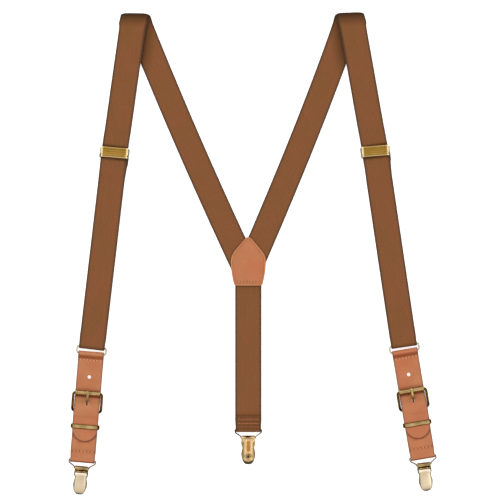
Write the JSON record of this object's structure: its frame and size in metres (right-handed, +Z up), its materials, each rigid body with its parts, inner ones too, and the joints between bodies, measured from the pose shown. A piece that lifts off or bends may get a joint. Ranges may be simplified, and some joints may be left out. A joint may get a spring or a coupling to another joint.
{
  "type": "suspenders",
  "caption": "Elastic suspenders with a Y back, leather yoke and leather front ends with roller buckles, slide adjusters and spring-free lever clips.",
  "frame": {"origin": "centre of the bounding box of the straps laid flat, on the surface they lie on", "axes": "+X to the right, +Y up the page from the clips to the shoulder folds, +Z up off the surface, towards the outer face of the front legs"},
  "size_m": [0.368, 0.4826, 0.0093],
  "materials": {
    "elastic": "brown woven elastic with a faint rib and firm edges",
    "leather": "tan smooth leather with a fine grain and burnished edges",
    "gold": "bright gold plate",
    "pale_brass": "pale polished brass",
    "antique_brass": "antique brass, dark in the hollows",
    "champagne": "pale champagne plate, satin",
    "steel_wire": "drawn wire with a dull brassy plate",
    "plastic": "dark moulded plastic"
  },
  "bodies": {
    "root": {"y_patch_outer": "leather", "y_patch_inner": "leather", "back_strap": "elastic", "left_back_run": "elastic", "right_back_run": "elastic"},
    "back_bail": {"back_bail": "steel_wire"},
    "back_clip": {"back_clip_base": "antique_brass", "back_clip_pin": "steel_wire", "back_clip_insert": "plastic"},
    "back_lever": {"back_clip_lever": "champagne"},
    "left_front_strap": {"left_shoulder_bend": "elastic", "left_front_run": "elastic"},
    "left_adjuster": {"left_adjuster_frame": "gold", "left_adjuster_pin": "steel_wire", "left_return_run": "elastic"},
    "left_adjuster_plate": {"left_adjuster_plate": "gold"},
    "left_strap_loop": {"left_lower_run": "elastic"},
    "left_ring": {"left_ring": "pale_brass"},
    "left_leather": {"left_billet": "leather", "left_chape": "leather", "left_buckle_frame": "antique_brass"},
    "left_roller": {"left_buckle_roller": "antique_brass"},
    "left_prong": {"left_buckle_prong": "antique_brass"},
    "left_keeper": {"left_keeper": "antique_brass"},
    "left_bail": {"left_bail": "steel_wire"},
    "left_clip": {"left_clip_base": "antique_brass", "left_clip_pin": "steel_wire", "left_clip_insert": "plastic"},
    "left_lever": {"left_clip_lever": "champagne"},
    "right_front_strap": {"right_shoulder_bend": "elastic", "right_front_run": "elastic"},
    "right_adjuster": {"right_adjuster_frame": "gold", "right_adjuster_pin": "steel_wire", "right_return_run": "elastic"},
    "right_adjuster_plate": {"right_adjuster_plate": "gold"},
    "right_strap_loop": {"right_lower_run": "elastic"},
    "right_ring": {"right_ring": "pale_brass"},
    "right_leather": {"right_billet": "leather", "right_chape": "leather", "right_buckle_frame": "antique_brass"},
    "right_roller": {"right_buckle_roller": "antique_brass"},
    "right_prong": {"right_buckle_prong": "antique_brass"},
    "right_keeper": {"right_keeper": "antique_brass"},
    "right_bail": {"right_bail": "steel_wire"},
    "right_clip": {"right_clip_base": "antique_brass", "right_clip_pin": "steel_wire", "right_clip_insert": "plastic"},
    "right_lever": {"right_clip_lever": "champagne"}
  },
  "joints": [
    {"name": "back_bail_swing", "type": "hinge", "parent": "root", "child": "back_bail", "pos_m": [-0.00428, -0.17634, 0.00255], "axis": [1, 0, 0], "range_deg": [-80, 80]},
    {"name": "back_clip_swing", "type": "hinge", "parent": "back_bail", "child": "back_clip", "pos_m": [-0.00428, -0.18475, 0.0038], "axis": [-1, 0, 0], "range_deg": [-60, 60]},
    {"name": "back_lever_open", "type": "hinge", "parent": "back_clip", "child": "back_lever", "pos_m": [-0.00428, -0.19025, 0.003], "axis": [1, 0, 0], "range_deg": [0, 100]},
    {"name": "left_shoulder_unfold", "type": "hinge", "parent": "root", "child": "left_front_strap", "pos_m": [-0.11758, 0.23756, 0.00265], "axis": [-0.9999, 0.014, 0], "range_deg": [0, 165], "deforming": ["left_shoulder_bend"]},
    {"name": "left_adjuster_slide", "type": "slide", "parent": "left_front_strap", "child": "left_adjuster", "axis": [-0.1165, -0.9932, 0], "range_m": [-0.08, 0.28], "deforming": ["left_front_run", "left_return_run"]},
    {"name": "left_loop_slide", "type": "slide", "parent": "left_adjuster", "child": "left_strap_loop", "axis": [-0.1165, -0.9932, 0], "range_m": [-0.14, 0.04], "deforming": ["left_lower_run"]},
    {"name": "left_plate_flip", "type": "hinge", "parent": "left_adjuster", "child": "left_adjuster_plate", "pos_m": [-0.13829, 0.09637, 0.00775], "axis": [0.9966, -0.0819, 0], "range_deg": [0, 95]},
    {"name": "left_ring_swing", "type": "hinge", "parent": "left_strap_loop", "child": "left_ring", "pos_m": [-0.16071, -0.09351, 0.00285], "axis": [0.9951, -0.0993, 0], "range_deg": [-45, 45]},
    {"name": "left_leather_swing", "type": "hinge", "parent": "left_ring", "child": "left_leather", "pos_m": [-0.16144, -0.10088, 0.00285], "axis": [0.9966, -0.0819, 0], "range_deg": [-60, 60]},
    {"name": "left_roller_turn", "type": "hinge", "parent": "left_leather", "child": "left_roller", "pos_m": [-0.16464, -0.13974, 0.0049], "axis": [0.9966, -0.0819, 0], "continuous": true},
    {"name": "left_prong_lift", "type": "hinge", "parent": "left_leather", "child": "left_prong", "pos_m": [-0.16615, -0.15818, 0.00305], "axis": [0.9966, -0.0819, 0], "range_deg": [0, 4.5]},
    {"name": "left_keeper_slide", "type": "slide", "parent": "left_leather", "child": "left_keeper", "axis": [0.0819, 0.9966, 0], "range_m": [-0.01, 0.005]},
    {"name": "left_bail_swing", "type": "hinge", "parent": "left_leather", "child": "left_bail", "pos_m": [-0.17016, -0.20692, 0.00305], "axis": [0.9956, -0.0941, 0], "range_deg": [-80, 80]},
    {"name": "left_clip_swing", "type": "hinge", "parent": "left_bail", "child": "left_clip", "pos_m": [-0.17096, -0.21537, 0.0026], "axis": [0.9945, -0.1045, 0], "range_deg": [-60, 60]},
    {"name": "left_lever_open", "type": "hinge", "parent": "left_clip", "child": "left_lever", "pos_m": [-0.17154, -0.22084, 0.0034], "axis": [-0.9945, 0.1045, 0], "range_deg": [0, 100]},
    {"name": "right_shoulder_unfold", "type": "hinge", "parent": "root", "child": "right_front_strap", "pos_m": [0.09742, 0.23826, 0.00265], "axis": [-0.9995, -0.0314, 0], "range_deg": [0, 165], "deforming": ["right_shoulder_bend"]},
    {"name": "right_adjuster_slide", "type": "slide", "parent": "right_front_strap", "child": "right_adjuster", "axis": [0.1471, -0.9891, 0], "range_m": [-0.08, 0.28], "deforming": ["right_front_run", "right_return_run"]},
    {"name": "right_loop_slide", "type": "slide", "parent": "right_adjuster", "child": "right_strap_loop", "axis": [0.1471, -0.9891, 0], "range_m": [-0.14, 0.04], "deforming": ["right_lower_run"]},
    {"name": "right_plate_flip", "type": "hinge", "parent": "right_adjuster", "child": "right_adjuster_plate", "pos_m": [0.12291, 0.09786, 0.00775], "axis": [0.9969, 0.0785, 0], "range_deg": [0, 95]},
    {"name": "right_ring_swing", "type": "hinge", "parent": "right_strap_loop", "child": "right_ring", "pos_m": [0.15132, -0.09123, 0.00285], "axis": [0.9905, 0.1374, 0], "range_deg": [-45, 45]},
    {"name": "right_leather_swing", "type": "hinge", "parent": "right_ring", "child": "right_leather", "pos_m": [0.15234, -0.09856, 0.00285], "axis": [0.986, 0.1668, 0], "range_deg": [-60, 60]},
    {"name": "right_roller_turn", "type": "hinge", "parent": "right_leather", "child": "right_roller", "pos_m": [0.15884, -0.13701, 0.0049], "axis": [0.986, 0.1668, 0], "continuous": true},
    {"name": "right_prong_lift", "type": "hinge", "parent": "right_leather", "child": "right_prong", "pos_m": [0.16192, -0.15525, 0.00305], "axis": [0.986, 0.1668, 0], "range_deg": [0, 4.5]},
    {"name": "right_keeper_slide", "type": "slide", "parent": "right_leather", "child": "right_keeper", "axis": [-0.1668, 0.986, 0], "range_m": [-0.01, 0.005]},
    {"name": "right_bail_swing", "type": "hinge", "parent": "right_leather", "child": "right_bail", "pos_m": [0.17008, -0.20347, 0.00305], "axis": [0.9898, 0.1426, 0], "range_deg": [-80, 80]},
    {"name": "right_clip_swing", "type": "hinge", "parent": "right_bail", "child": "right_clip", "pos_m": [0.17129, -0.21187, 0.0026], "axis": [0.9928, 0.1201, 0], "range_deg": [-60, 60]},
    {"name": "right_lever_open", "type": "hinge", "parent": "right_clip", "child": "right_lever", "pos_m": [0.17195, -0.21733, 0.0034], "axis": [-0.9928, -0.1201, 0], "range_deg": [0, 100]}
  ],
  "couplings": [
    {"joint": "left_loop_slide", "follows": "left_adjuster_slide", "ratio": -0.5},
    {"joint": "right_loop_slide", "follows": "right_adjuster_slide", "ratio": -0.5}
  ]
}
